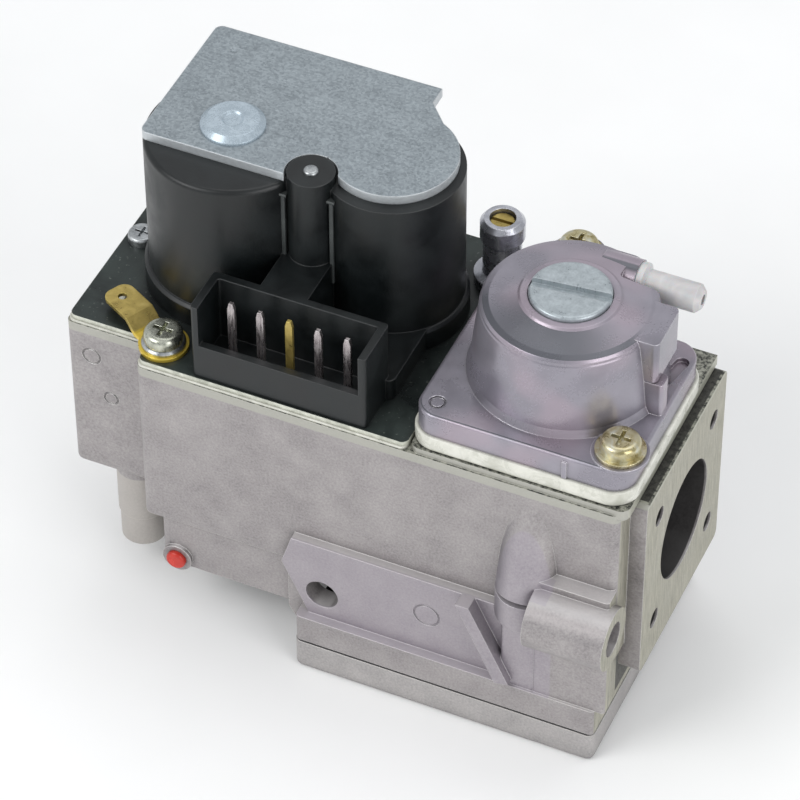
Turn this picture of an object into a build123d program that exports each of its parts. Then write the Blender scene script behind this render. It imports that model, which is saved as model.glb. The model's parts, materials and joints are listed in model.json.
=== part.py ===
from build123d import *
import math
import os

os.makedirs("parts", exist_ok=True)

# ---------------------------------------------------------------- frame and driving dimensions
# Millimetres. The origin is the centre of the inlet port's mouth, +X runs along the flow to the
# outlet, +Z is up (the coils and the regulator stand on the deck), -Y is the front.
length = 123.0
front_y = -27.0
back_y = 33.0
flange_w = 41.6
port_r = 12.3
port_hole_r = 2.1
port_hole_pitch = 28.6
port_hole_depth = 9.0
outlet_z = -5.2

casting_top = 18.9
gasket_top = 19.5
deck_z = 20.5
reg_deck_z = 20.3
belly_z = -21.3
lower_left_z = -34.5
split_z = -39.5
foot_z = -47.5

body_x0 = 18.0
body_x1 = 119.5
lower_x0 = 50.0
lower_x1 = 117.5
lower_front_y = -31.0
lower_back_y = 25.0
lug_y = -29.0

# first (safety) solenoid and second (servo) solenoid
coil1_x, coil1_y = 25.5, 4.5
coil2_x, coil2_y = 57.5, 8.4
coil1_r = 17.5
coil2_r = 14.0
coil_top = 56.5
yoke_t = 2.0
yoke_top = coil_top + yoke_t
post_x, post_y = 45.0, -2.0
post_r = 4.7

# plug connector on the front of the coil housing
plug_x0, plug_x1 = 30.2, 67.0
plug_y0, plug_y1 = -26.0, -15.0
plug_wall = 1.6
plug_back_h = 18.0
plug_front_h = 8.2
pin_pitch = 6.1
pin_x = 48.6
pin_y = -20.5

# servo pressure regulator
reg_x, reg_y = 98.7, -2.5
reg_gasket_top = 23.6
reg_base_top = 28.8
dome_top = 46.8
dome_r = 17.3
dome_foot_r = 19.6
cap_r = 8.0
cap_ring_r = 9.5

# valve works
seat1_z = -11.0
seat1_r = 7.5
main_x, main_y = 80.0, 0.0
main_seat_r = 10.0
web1_z = -12.5
web1_t = 4.0
web2_z = -17.6
web2_t = 3.4
plunger1_r = 4.62
plunger2_r = 3.82
bore_gap = 0.08
rest_gap = 0.1


def slab(x, y, z, corner=0.0, mode=Mode.ADD):
    """A block between the pairs x, y and z, with its upright corners rounded."""
    with BuildSketch(Plane.XY.offset(z[0])) as outline:
        with Locations(((x[0] + x[1]) / 2, (y[0] + y[1]) / 2)):
            if corner > 0:
                RectangleRounded(x[1] - x[0], y[1] - y[0], corner)
            else:
                Rectangle(x[1] - x[0], y[1] - y[0])
    extrude(outline.sketch, amount=z[1] - z[0], mode=mode)


def rod(x, y, z, radius, mode=Mode.ADD):
    """An upright cylinder at x, y between the pair z."""
    with BuildSketch(Plane.XY.offset(z[0])) as disc:
        with Locations((x, y)):
            Circle(radius)
    extrude(disc.sketch, amount=z[1] - z[0], mode=mode)


def tube(x, y, z, outer, inner):
    """An upright tube at x, y between the pair z."""
    rod(x, y, z, outer)
    rod(x, y, z, inner, Mode.SUBTRACT)


def cross_rod(x, y, z, radius, mode=Mode.ADD):
    """A cylinder along X between the pair x, centred on y, z."""
    with BuildSketch(Plane.YZ.offset(x[0])) as disc:
        with Locations((y, z)):
            Circle(radius)
    extrude(disc.sketch, amount=x[1] - x[0], mode=mode)


def front_rod(x, y, z, radius, mode=Mode.ADD):
    """A cylinder along Y between the pair y, centred on x, z."""
    with BuildSketch(Plane.XZ.offset(-y[1])) as disc:
        with Locations((x, z)):
            Circle(radius)
    extrude(disc.sketch, amount=y[1] - y[0], mode=mode)


def port_holes(x, direction, z):
    """The four blind screw holes of one port's flange, cut from the face at x."""
    with BuildSketch(Plane.YZ.offset(x)) as holes:
        with Locations((0, z)):
            with GridLocations(port_hole_pitch, port_hole_pitch, 2, 2):
                Circle(port_hole_r)
    extrude(holes.sketch, amount=direction * port_hole_depth, mode=Mode.SUBTRACT)


def spun(x, y, profile):
    """A turned solid: its half profile of (radius, height) points, spun about the upright axis at x, y."""
    with BuildSketch(Plane.XZ.offset(-y)) as half:
        with BuildLine():
            Polyline(*[(x + radius, height) for radius, height in profile], close=True)
        make_face()
    revolve(half.sketch, axis=Axis((x, y, 0), (0, 0, 1)))


def coil_spring(x, y, z, radius, wire_r, turns):
    """A round-wire compression spring between the pair z, as one closed solid."""
    height = z[1] - z[0] - 2 * wire_r
    path = Helix(pitch=height / turns, height=height, radius=radius, center=(x, y, z[0] + wire_r))
    with BuildSketch(Plane(origin=path @ 0, z_dir=path % 0)) as wire:
        Circle(wire_r)
    sweep(wire.sketch, path=path, is_frenet=True)


def pan_head(x, y, z, head_r, head_h, shank_r, shank_len):
    """A cross-recessed pan-head screw standing on the face at height z."""
    rod(x, y, (z, z + head_h), head_r)
    rod(x, y, (z - shank_len, z), shank_r)


def cross_recess(x, y, top, reach, width, depth):
    """The cross of a screw head, cut down from top."""
    slab((x - reach, x + reach), (y - width / 2, y + width / 2), (top - depth, top), 0, Mode.SUBTRACT)
    slab((x - width / 2, x + width / 2), (y - reach, y + reach), (top - depth, top), 0, Mode.SUBTRACT)


def ring_mark(x, y, z, radius):
    """A shallow round ejector mark, sunk into a front face at y."""
    with BuildSketch(Plane.XZ.offset(-y)) as ring:
        with Locations((x, z)):
            Circle(radius)
            Circle(radius - 0.5, mode=Mode.SUBTRACT)
    extrude(ring.sketch, amount=-0.3, mode=Mode.SUBTRACT)


# ---------------------------------------------------------------- the die-cast body
leg_x, leg_y = 11.5, -15.0
leg_bottom = -40.5
leg_hole_r = 1.65
lug_hole_x, lug_hole_z = 58.3, -26.6
lug_hole_r = 3.5
lug_back = -24.4
corner_gap_x, corner_gap_y = 61.5, -9.0
side_boss_y, side_boss_z = -31.4, -9.4
side_boss_r = 6.5
side_hole_r = 3.6
side_hole_x0 = 109.0
side_boss_x1 = 121.0
column_x = 101.3
column_r = 6.3
column_z0, column_top = -8.0, 13.4
inlet_bore = 5.6
corner_x = 103.8
flange_back = 20.4
strainer_r = 11.6
chamber_a_x = (9.0, 46.0)
chamber_a_y = (-16.0, 17.0)
chamber_c_x = (66.5, 112.0)
chamber_c_y = (-19.0, 17.0)
chamber_c_top = 12.0
chamber_b_floor = -31.0
pilot_pocket_r = 7.5
pilot_seat_z = 8.5
main_pocket_r = 15.5
guide_r = 2.08
stem_r = 2.0
drive_pocket_r = 19.4
earth_x, earth_y = 21.5, -20.8
deck_screws = ((4.0, 5.0), (22.5, 28.6), (52.0, 29.0))
deck_screw_r = 1.5
nipple_x, nipple_y = 74.2, 23.0
nipple_stub_r = 4.0
reg_screws = ((116.4, -19.7), (88.5, 27.6))
cover_screws = ((56.0, -26.5), (111.5, -26.5), (56.0, 20.5), (111.5, 20.5))
red_x, red_z = 25.0, -32.4

with BuildPart() as valve_body:
    # inlet end and main block
    slab((0, body_x0 + 4), (-flange_w / 2, flange_w / 2), (-20.1, casting_top), 1.2)
    left_bottom = valve_body.faces().sort_by(Axis.Z)[0]
    fillet(left_bottom.edges(), 1.8)
    slab((body_x0, body_x1), (front_y, back_y), (belly_z, casting_top), 2.0)
    slab((76.2, 120.8), (front_y + 0.4, back_y - 0.4), (casting_top - 1, reg_deck_z), 2.0)
    # the back right corner steps in to the width of the outlet flange
    slab((corner_x, length), (flange_back, back_y + 1), (belly_z - 1, reg_deck_z + 1), 0, Mode.SUBTRACT)
    # stepped belly: the gas way under the first seat, then the main valve's housing
    slab((21.2, lower_x0 + 6), (front_y + 1.0, back_y - 2.0), (lower_left_z, belly_z + 1), 2.0)
    with BuildSketch(Plane.XZ.offset(-lower_back_y)) as housing_side:
        with BuildLine():
            Polyline(
                (lower_x0, belly_z + 2),
                (lower_x0, -35.0),
                (lower_x0 + 2.6, split_z),
                (lower_x1, split_z),
                (lower_x1, belly_z + 2),
                close=True,
            )
        make_face()
    extrude(housing_side.sketch, amount=lower_back_y - front_y)
    slab((lower_x0 + 3.2, lower_x1), (lower_front_y, front_y + 1), (split_z, -32.8), 1.0)
    # lug plate on the front, with its slanted ends
    with BuildSketch(Plane.XZ.offset(-front_y)) as lug_outline:
        with BuildLine():
            Polyline(
                (51.8, -13.2),
                (49.6, -20.4),
                (55.4, -32.9),
                (106.3, -32.9),
                (106.3, -13.2),
                close=True,
            )
        make_face()
    extrude(lug_outline.sketch, amount=front_y - lug_y)
    # slanted rib and column on the lug, both running into the round-topped pipe boss
    with BuildSketch(Plane.XZ.offset(-front_y)) as rib_outline:
        with BuildLine():
            Polyline((88.4, -13.2), (91.2, -13.2), (99.8, -31.4), (96.9, -32.0), close=True)
        make_face()
    extrude(rib_outline.sketch, amount=5.2)
    slab((97.2, 104.6), (lug_y - 1.4, front_y), (-32.9, -10.0), 0.8)
    lean = math.degrees(math.atan2(column_r, column_top - column_z0))
    with Locations(Location((column_x, front_y, column_z0), (-lean, 0, 0))):
        Cylinder(column_r, column_top - column_z0 + 1, align=(Align.CENTER, Align.CENTER, Align.MIN))
    rod(column_x, front_y, (-14.0, column_z0 + 0.6), column_r)
    # pad and sideways tapping boss beside the outlet flange
    slab((104.0, body_x1), (-30.4, front_y + 1), (-32.9, -1.4), 0.8)
    cross_rod((104.5, side_boss_x1), side_boss_y, side_boss_z, side_boss_r)
    # outlet flange
    with BuildSketch(Plane.YZ.offset(body_x1 - 1)) as outlet_flange:
        with Locations((-0.4, outlet_z - 0.3)):
            RectangleRounded(flange_w, 46.4, 1.6)
    extrude(outlet_flange.sketch, amount=length - body_x1 + 1)
    # screw leg under the inlet end, and the small boss of the sealing plug
    rod(leg_x, leg_y, (-33.0, -18.0), 5.0)
    rod(leg_x, leg_y, (leg_bottom, -32.0), 4.7)
    front_rod(red_x, (front_y + 0.2, -20.0), red_z, 3.2)

    # gas ways
    cross_rod((0, inlet_bore), 0, 0, port_r, Mode.SUBTRACT)
    cross_rod((inlet_bore - 0.1, chamber_a_x[0] + 1), 0, 0, strainer_r + 0.05, Mode.SUBTRACT)
    cross_rod((chamber_c_x[1] - 1, length), 0, outlet_z, port_r, Mode.SUBTRACT)
    slab(chamber_a_x, chamber_a_y, (web1_z, casting_top), 4.0, Mode.SUBTRACT)
    slab((24.0, 50.0), (-22.0, 21.0), (chamber_b_floor, web1_z - web1_t), 3.0, Mode.SUBTRACT)
    slab((17.0, 34.0), (-3.0, 12.0), (-18.4, web1_z - web1_t), 3.0, Mode.SUBTRACT)
    slab((64.0, 100.0), (-20.0, 20.0), (chamber_b_floor, web2_z - web2_t), 3.0, Mode.SUBTRACT)
    slab((44.0, 70.0), (-6.0, 20.0), (chamber_b_floor, web2_z - web2_t), 3.0, Mode.SUBTRACT)
    slab(chamber_c_x, chamber_c_y, (web2_z, chamber_c_top), 4.0, Mode.SUBTRACT)
    rod(coil1_x, coil1_y, (web1_z, seat1_z), seat1_r + 1.2)
    rod(coil1_x, coil1_y, (web1_z - web1_t - 1, seat1_z), seat1_r, Mode.SUBTRACT)
    rod(main_x, main_y, (web2_z, web2_z + 1.4), main_seat_r + 1.2)
    rod(main_x, main_y, (web2_z - web2_t - 1, web2_z + 1.4), main_seat_r, Mode.SUBTRACT)
    # spring pocket over the main valve, and its stem guide and drive pocket below
    rod(main_x, main_y, (chamber_c_top - 1, 15.0), main_pocket_r - 1.5, Mode.SUBTRACT)
    rod(main_x, main_y, (15.0, reg_deck_z), main_pocket_r, Mode.SUBTRACT)
    rod(main_x, main_y, (-34.0, chamber_b_floor + 1), guide_r, Mode.SUBTRACT)
    rod(main_x, main_y, (split_z, -34.0), drive_pocket_r, Mode.SUBTRACT)
    # servo pocket with the pilot seat
    rod(coil2_x, coil2_y, (6.0, casting_top), pilot_pocket_r, Mode.SUBTRACT)
    rod(coil2_x, coil2_y, (6.0, pilot_seat_z), 2.6)
    rod(coil2_x, coil2_y, (2.0, pilot_seat_z), 1.0, Mode.SUBTRACT)
    # servo nozzle under the regulator's diaphragm
    rod(reg_x, reg_y, (reg_deck_z - 1, 21.9), 2.4)
    rod(reg_x, reg_y, (chamber_c_top - 1, 21.9), 0.9, Mode.SUBTRACT)

    # open corner behind the lug plate
    slab((52.4, corner_gap_x), (lug_back, corner_gap_y), (-36.0, -22.5), 1.0, Mode.SUBTRACT)
    slab((45.0, corner_gap_x), (lug_back, corner_gap_y), (split_z - 1, -34.4), 1.0, Mode.SUBTRACT)

    # flange screw holes, tapping, lug hole and screw holes
    port_holes(0, 1, 0)
    port_holes(length, -1, outlet_z)
    cross_rod((side_hole_x0, side_boss_x1), side_boss_y, side_boss_z, side_hole_r, Mode.SUBTRACT)
    front_rod(lug_hole_x, (lug_y, lug_back + 0.5), lug_hole_z, lug_hole_r, Mode.SUBTRACT)
    rod(leg_x, leg_y, (leg_bottom, leg_bottom + 12), leg_hole_r, Mode.SUBTRACT)
    front_rod(red_x, (front_y - 1, -22.0), red_z, 1.6, Mode.SUBTRACT)
    for x, y in deck_screws + ((earth_x, earth_y),):
        rod(x, y, (13.0, casting_top), deck_screw_r, Mode.SUBTRACT)
    for x, y in reg_screws:
        rod(x, y, (8.0, reg_deck_z), 1.8, Mode.SUBTRACT)
    for x, y in cover_screws:
        rod(x, y, (split_z, split_z + 7), 1.5, Mode.SUBTRACT)
    rod(nipple_x, nipple_y, (10.0, reg_deck_z + 1), nipple_stub_r, Mode.SUBTRACT)
    # ejector marks left by the die
    ring_mark(5.2, -flange_w / 2, 11.2, 2.1)
    ring_mark(9.0, -flange_w / 2, 1.0, 1.7)
    ring_mark(81.0, lug_y, -22.6, 2.9)
    ring_mark(113.5, -30.4, -1.4 - 4.6, 2.3)

valve_body.part.label = "valve_body"
export_step(valve_body.part, "parts/valve_body.step")

# ---------------------------------------------------------------- inlet strainer
strainer_x0, strainer_x1 = 5.7, 8.9
strainer_rim = 0.9
mesh_pitch = 2.2
mesh_wire = 0.5

with BuildPart() as inlet_strainer:
    cross_rod((strainer_x0, strainer_x1), 0, 0, strainer_r)
    cross_rod((strainer_x0, strainer_x1), 0, 0, strainer_r - strainer_rim, Mode.SUBTRACT)
    with BuildSketch(Plane.YZ.offset(strainer_x1 - 0.8)) as mesh:
        with GridLocations(mesh_pitch, 0, 11, 1):
            Rectangle(mesh_wire, 2 * strainer_r)
        with GridLocations(0, mesh_pitch, 1, 11):
            Rectangle(2 * strainer_r, mesh_wire)
        Circle(strainer_r, mode=Mode.INTERSECT)
    extrude(mesh.sketch, amount=0.6)
inlet_strainer.part.label = "inlet_strainer"
export_step(inlet_strainer.part, "parts/inlet_strainer.step")

# ---------------------------------------------------------------- deck: gasket, plate and screws
plate_x1 = 75.6
plate_inset = 0.5
plate_corner = 1.5
tube1_r, tube2_r = plunger1_r + bore_gap + 0.45, plunger2_r + bore_gap + 0.45
locating_hole = (6.6, -12.0)


def deck_outline(inset):
    """The plan of the deck: the inlet end is narrower than the main block."""
    half = flange_w / 2 - inset
    with Locations(((inset + body_x0 + 4) / 2, 0)):
        RectangleRounded(body_x0 + 4 - inset, 2 * half, plate_corner)
    with Locations(((body_x0 + inset + plate_x1) / 2, (front_y + back_y) / 2)):
        RectangleRounded(plate_x1 - body_x0 - inset, back_y - front_y - 2 * inset, plate_corner)


def deck_screw_places():
    """Where every screw goes down through the deck."""
    return deck_screws + ((earth_x, earth_y),)


with BuildPart() as deck_gasket:
    with BuildSketch(Plane.XY.offset(casting_top)):
        deck_outline(0.2)
        with Locations(((chamber_a_x[0] + chamber_a_x[1]) / 2, (chamber_a_y[0] + chamber_a_y[1]) / 2)):
            width = chamber_a_x[1] - chamber_a_x[0] - 1
            RectangleRounded(width, chamber_a_y[1] - chamber_a_y[0] - 1, 3.5, mode=Mode.SUBTRACT)
        with Locations((coil2_x, coil2_y)):
            Circle(pilot_pocket_r - 0.5, mode=Mode.SUBTRACT)
        with Locations(*deck_screw_places()):
            Circle(2.1, mode=Mode.SUBTRACT)
        with Locations((nipple_x, nipple_y)):
            Circle(4.6, mode=Mode.SUBTRACT)
    extrude(amount=gasket_top - casting_top)
deck_gasket.part.label = "deck_gasket"
export_step(deck_gasket.part, "parts/deck_gasket.step")

with BuildPart() as deck_plate:
    with BuildSketch(Plane.XY.offset(gasket_top)):
        deck_outline(plate_inset)
        with Locations((coil1_x, coil1_y)):
            Circle(tube1_r + 0.05, mode=Mode.SUBTRACT)
        with Locations((coil2_x, coil2_y)):
            Circle(tube2_r + 0.05, mode=Mode.SUBTRACT)
        with Locations(*deck_screw_places()):
            Circle(2.1, mode=Mode.SUBTRACT)
        with Locations((nipple_x, nipple_y)):
            Circle(4.6, mode=Mode.SUBTRACT)
        with Locations(locating_hole):
            Circle(1.9, mode=Mode.SUBTRACT)
    extrude(amount=deck_z - gasket_top)
deck_plate.part.label = "deck_plate"
export_step(deck_plate.part, "parts/deck_plate.step")

with BuildPart() as deck_plate_screws:
    for x, y in deck_screws:
        pan_head(x, y, deck_z, 2.9, 1.9, deck_screw_r - 0.05, 7.0)
        cross_recess(x, y, deck_z + 1.9, 1.5, 0.5, 0.9)
    top_rims = deck_plate_screws.faces().filter_by(Axis.Z).group_by(Axis.Z)[-1].edges()
    fillet(top_rims.filter_by(GeomType.CIRCLE).filter_by(lambda e: e.radius > 2.5), 0.7)
deck_plate_screws.part.label = "deck_plate_screws"
export_step(deck_plate_screws.part, "parts/deck_plate_screws.step")

# ---------------------------------------------------------------- earth tab on the deck's corner
ring_r = 5.0
tab_w = 6.3
tab_t = 0.8
tab_rise = 3.0
tab_len = 16.6
tab_angle = 152.0

with BuildPart() as earth_tab:
    rod(earth_x, earth_y, (deck_z, deck_z + tab_t), ring_r)
    tab_plane = Plane(
        origin=(earth_x, earth_y, deck_z),
        x_dir=(math.cos(math.radians(tab_angle)), math.sin(math.radians(tab_angle)), 0),
        z_dir=(0, 0, 1),
    )
    with BuildSketch(Plane(origin=tab_plane.origin, x_dir=tab_plane.x_dir, z_dir=-tab_plane.y_dir)) as strip:
        with BuildLine():
            Polyline(
                (3.0, 0),
                (5.6, 0),
                (8.4, tab_rise - tab_t),
                (tab_len, tab_rise - tab_t),
                (tab_len, tab_rise),
                (8.0, tab_rise),
                (5.2, tab_t),
                (3.0, tab_t),
                close=True,
            )
        make_face()
    extrude(strip.sketch, amount=tab_w / 2, both=True)
    tip = earth_tab.edges().filter_by(Axis.Z).sort_by(Axis(tab_plane.origin, tab_plane.x_dir))[-2:]
    fillet(tip, 2.2)
    tab_hole = tab_plane.from_local_coords((tab_len - 3.0, 0, 0))
    rod(tab_hole.X, tab_hole.Y, (deck_z, deck_z + 8), 0.9, Mode.SUBTRACT)
    rod(earth_x, earth_y, (deck_z - 1, deck_z + 3), 2.15, Mode.SUBTRACT)
earth_tab.part.label = "earth_tab"
export_step(earth_tab.part, "parts/earth_tab.step")

with BuildPart() as earth_washer:
    tube(earth_x, earth_y, (deck_z + tab_t, deck_z + tab_t + 0.9), 4.4, 2.15)
    chamfer(earth_washer.faces().sort_by(Axis.Z)[-1].edges().sort_by(SortBy.RADIUS)[-1], 0.4)
earth_washer.part.label = "earth_washer"
export_step(earth_washer.part, "parts/earth_washer.step")

earth_seat = deck_z + tab_t + 0.9
earth_head_h = 2.7
with BuildPart() as earth_screw:
    pan_head(earth_x, earth_y, earth_seat, 3.9, earth_head_h, deck_screw_r - 0.05, 9.0)
    fillet(earth_screw.faces().sort_by(Axis.Z)[-1].edges(), 1.3)
    cross_recess(earth_x, earth_y, earth_seat + earth_head_h, 2.0, 0.8, 1.3)
earth_screw.part.label = "earth_screw"
export_step(earth_screw.part, "parts/earth_screw.step")

# ---------------------------------------------------------------- coil housing with its plug shroud
flare_h = 5.0
flare = 0.9
shell_t = 2.0
cavity_top = coil_top - 1.8
pin_floor = deck_z + 3.2
base_z0 = deck_z + 0.02


def flared_foot(x, y, radius):
    """The wider round foot of one coil, with a sloped top edge."""
    rod(x, y, (base_z0, base_z0 + flare_h - 0.6), radius)
    with BuildSketch(Plane.XY.offset(base_z0 + flare_h - 0.6)) as top:
        with Locations((x, y)):
            Circle(radius)
    extrude(top.sketch, amount=0.6, taper=45)


with BuildPart() as coil_housing:
    flared_foot(coil1_x, coil1_y, coil1_r + flare)
    flared_foot(coil2_x, coil2_y, coil2_r + flare)
    rod(coil1_x, coil1_y, (base_z0, coil_top), coil1_r)
    fillet(coil_housing.faces().sort_by(Axis.Z)[-1].edges(), 1.0)
    rod(coil2_x, coil2_y, (base_z0, coil_top), coil2_r)
    slab((36.0, 50.0), (-2.0, 16.0), (base_z0, coil_top), 2.0)
    rod(post_x, post_y, (base_z0, yoke_top + 0.3), post_r)
    # base block and shroud of the connector
    slab((plug_x0, plug_x1), (plug_y0, plug_y1), (base_z0, deck_z + plug_back_h), 0.8)
    slab((plug_x0 + 2, plug_x1 + 1.6), (plug_y1 - 2, coil2_y), (base_z0, base_z0 + flare_h), 1.5)
    slab((40.0, 50.0), (plug_y1 - 1, post_y), (base_z0, deck_z + plug_back_h), 0.8)
    inner_x = (plug_x0 + plug_wall, plug_x1 - plug_wall)
    inner_y = (plug_y0 + plug_wall, plug_y1 - plug_wall)
    slab(inner_x, inner_y, (pin_floor, deck_z + plug_back_h + 1), 0.5, Mode.SUBTRACT)
    open_front = (plug_y0 - 1, plug_y0 + plug_wall + 0.5)
    slab(inner_x, open_front, (deck_z + plug_front_h, deck_z + plug_back_h + 1), 0, Mode.SUBTRACT)
    # winding spaces, open below
    rod(coil1_x, coil1_y, (base_z0, cavity_top), coil1_r - shell_t, Mode.SUBTRACT)
    rod(coil2_x, coil2_y, (base_z0, cavity_top), coil2_r - shell_t, Mode.SUBTRACT)
    rod(coil1_x, coil1_y, (cavity_top - 1, coil_top + 3), tube1_r + 0.15, Mode.SUBTRACT)
    rod(coil2_x, coil2_y, (cavity_top - 1, coil_top + 3), tube2_r + 0.15, Mode.SUBTRACT)
    rod(post_x, post_y, (yoke_top - 8, yoke_top + 1), 1.5, Mode.SUBTRACT)
    # slots for the pins
    with BuildSketch(Plane.XY.offset(pin_floor)) as pin_slots:
        with Locations((pin_x, pin_y)):
            with GridLocations(pin_pitch, 0, 5, 1):
                Rectangle(1.5, 0.8)
    extrude(pin_slots.sketch, amount=-2.4, mode=Mode.SUBTRACT)
coil_housing.part.label = "coil_housing"
export_step(coil_housing.part, "parts/coil_housing.step")

pin_top = deck_z + 16.6


def blade(x):
    """One upright blade pin with a tapered tip."""
    with BuildSketch(Plane.XZ.offset(-pin_y)) as face:
        with BuildLine():
            Polyline(
                (x - 0.75, pin_floor - 2.4),
                (x + 0.75, pin_floor - 2.4),
                (x + 0.75, pin_top - 1.4),
                (x + 0.4, pin_top),
                (x - 0.4, pin_top),
                (x - 0.75, pin_top - 1.4),
                close=True,
            )
        make_face()
    extrude(face.sketch, amount=0.4, both=True)


with BuildPart() as connector_pins:
    for step in (-2, -1, 1, 2):
        blade(pin_x + step * pin_pitch)
connector_pins.part.label = "connector_pins"
export_step(connector_pins.part, "parts/connector_pins.step")

with BuildPart() as connector_earth_pin:
    blade(pin_x)
connector_earth_pin.part.label = "connector_earth_pin"
export_step(connector_earth_pin.part, "parts/connector_earth_pin.step")

with BuildPart() as post_pin:
    rod(post_x, post_y, (yoke_top - 8, yoke_top + 0.9), 1.5)
    fillet(post_pin.faces().sort_by(Axis.Z)[-1].edges(), 0.6)
post_pin.part.label = "post_pin"
export_step(post_pin.part, "parts/post_pin.step")

# ---------------------------------------------------------------- coils, guide tubes, cores, plungers
bobbin_z = (deck_z + 0.6, cavity_top - 0.3)
bobbin_flange_t = 1.2

with BuildPart() as first_bobbin:
    tube(coil1_x, coil1_y, bobbin_z, tube1_r + 1.3, tube1_r + 0.15)
    for z in (bobbin_z[0], bobbin_z[1] - bobbin_flange_t):
        tube(coil1_x, coil1_y, (z, z + bobbin_flange_t), coil1_r - shell_t - 0.3, tube1_r + 0.15)
first_bobbin.part.label = "first_bobbin"
export_step(first_bobbin.part, "parts/first_bobbin.step")

with BuildPart() as second_bobbin:
    tube(coil2_x, coil2_y, bobbin_z, tube2_r + 1.3, tube2_r + 0.15)
    for z in (bobbin_z[0], bobbin_z[1] - bobbin_flange_t):
        tube(coil2_x, coil2_y, (z, z + bobbin_flange_t), coil2_r - shell_t - 0.3, tube2_r + 0.15)
second_bobbin.part.label = "second_bobbin"
export_step(second_bobbin.part, "parts/second_bobbin.step")

winding_z = (bobbin_z[0] + bobbin_flange_t, bobbin_z[1] - bobbin_flange_t)
with BuildPart() as first_winding:
    tube(coil1_x, coil1_y, winding_z, coil1_r - shell_t - 1.5, tube1_r + 1.3)
first_winding.part.label = "first_winding"
export_step(first_winding.part, "parts/first_winding.step")

with BuildPart() as second_winding:
    tube(coil2_x, coil2_y, winding_z, coil2_r - shell_t - 1.5, tube2_r + 1.3)
second_winding.part.label = "second_winding"
export_step(second_winding.part, "parts/second_winding.step")

tube_foot_z = 14.5
tube_foot_t = 1.2
tube1_top = yoke_top - 0.4
tube2_top = coil_top - 0.4
core1_z0 = 44.0
core2_z0 = 43.0

with BuildPart() as first_guide_tube:
    rod(coil1_x, coil1_y, (gasket_top - tube_foot_t, gasket_top), tube1_r + 3.5)
    rod(coil1_x, coil1_y, (tube_foot_z, tube1_top), tube1_r)
    rod(coil1_x, coil1_y, (tube_foot_z, tube1_top), plunger1_r + bore_gap, Mode.SUBTRACT)
first_guide_tube.part.label = "first_guide_tube"
export_step(first_guide_tube.part, "parts/first_guide_tube.step")

with BuildPart() as second_guide_tube:
    rod(coil2_x, coil2_y, (gasket_top - tube_foot_t, gasket_top), tube2_r + 2.6)
    rod(coil2_x, coil2_y, (tube_foot_z, tube2_top), tube2_r)
    rod(coil2_x, coil2_y, (tube_foot_z, tube2_top), plunger2_r + bore_gap, Mode.SUBTRACT)
second_guide_tube.part.label = "second_guide_tube"
export_step(second_guide_tube.part, "parts/second_guide_tube.step")

with BuildPart() as first_core:
    rod(coil1_x, coil1_y, (core1_z0, tube1_top), plunger1_r + bore_gap)
first_core.part.label = "first_core"
export_step(first_core.part, "parts/first_core.step")

with BuildPart() as second_core:
    rod(coil2_x, coil2_y, (core2_z0, tube2_top), plunger2_r + bore_gap)
second_core.part.label = "second_core"
export_step(second_core.part, "parts/second_core.step")

stroke1 = 2.6
stroke2 = 1.2
disc1_r = 9.6
disc1_t = 2.6
disc1_z0 = seat1_z + rest_gap
holder1_z0 = disc1_z0 + disc1_t
holder1_t = 1.6
spring1_r = 7.2
spring1_wire = 0.45
spring2_r = 5.2
spring2_wire = 0.35

with BuildPart() as first_valve_seal:
    rod(coil1_x, coil1_y, (disc1_z0, holder1_z0), disc1_r)
    fillet(first_valve_seal.edges().filter_by(GeomType.CIRCLE), 0.5)
first_valve_seal.part.label = "first_valve_seal"
export_step(first_valve_seal.part, "parts/first_valve_seal.step")

with BuildPart() as first_plunger:
    rod(coil1_x, coil1_y, (holder1_z0, holder1_z0 + holder1_t), disc1_r - 0.6)
    rod(coil1_x, coil1_y, (holder1_z0, core1_z0 - stroke1 - 0.3), plunger1_r)
    chamfer(first_plunger.faces().sort_by(Axis.Z)[-1].edges(), 0.4)
first_plunger.part.label = "first_plunger"
export_step(first_plunger.part, "parts/first_plunger.step")

spring1_z = (holder1_z0 + holder1_t, gasket_top - tube_foot_t)
with BuildPart() as first_plunger_spring:
    coil_spring(coil1_x, coil1_y, spring1_z, spring1_r, spring1_wire, 7)
first_plunger_spring.part.label = "first_plunger_spring"
export_step(first_plunger_spring.part, "parts/first_plunger_spring.step")

disc2_z0 = pilot_seat_z + rest_gap
with BuildPart() as second_valve_seal:
    rod(coil2_x, coil2_y, (disc2_z0, disc2_z0 + 1.4), 3.4)
second_valve_seal.part.label = "second_valve_seal"
export_step(second_valve_seal.part, "parts/second_valve_seal.step")

with BuildPart() as second_plunger:
    rod(coil2_x, coil2_y, (disc2_z0 + 1.4, core2_z0 - stroke2 - 0.3), plunger2_r)
    rod(coil2_x, coil2_y, (disc2_z0 + 1.4, disc2_z0 + 2.4), 6.2)
    chamfer(second_plunger.faces().sort_by(Axis.Z)[-1].edges(), 0.4)
second_plunger.part.label = "second_plunger"
export_step(second_plunger.part, "parts/second_plunger.step")

spring2_z = (disc2_z0 + 2.4, gasket_top - tube_foot_t)
with BuildPart() as second_plunger_spring:
    coil_spring(coil2_x, coil2_y, spring2_z, spring2_r, spring2_wire, 5)
second_plunger_spring.part.label = "second_plunger_spring"
export_step(second_plunger_spring.part, "parts/second_plunger_spring.step")

# ---------------------------------------------------------------- magnet yoke and its retaining cap
yoke_x0, yoke_x1 = 9.8, 58.0
yoke_y0, yoke_y1 = -4.4, 30.4
lobe_x, lobe_y = 57.1, 9.6
lobe_r = 12.6
leg_x0, leg_x1 = 28.0, 44.0

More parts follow.
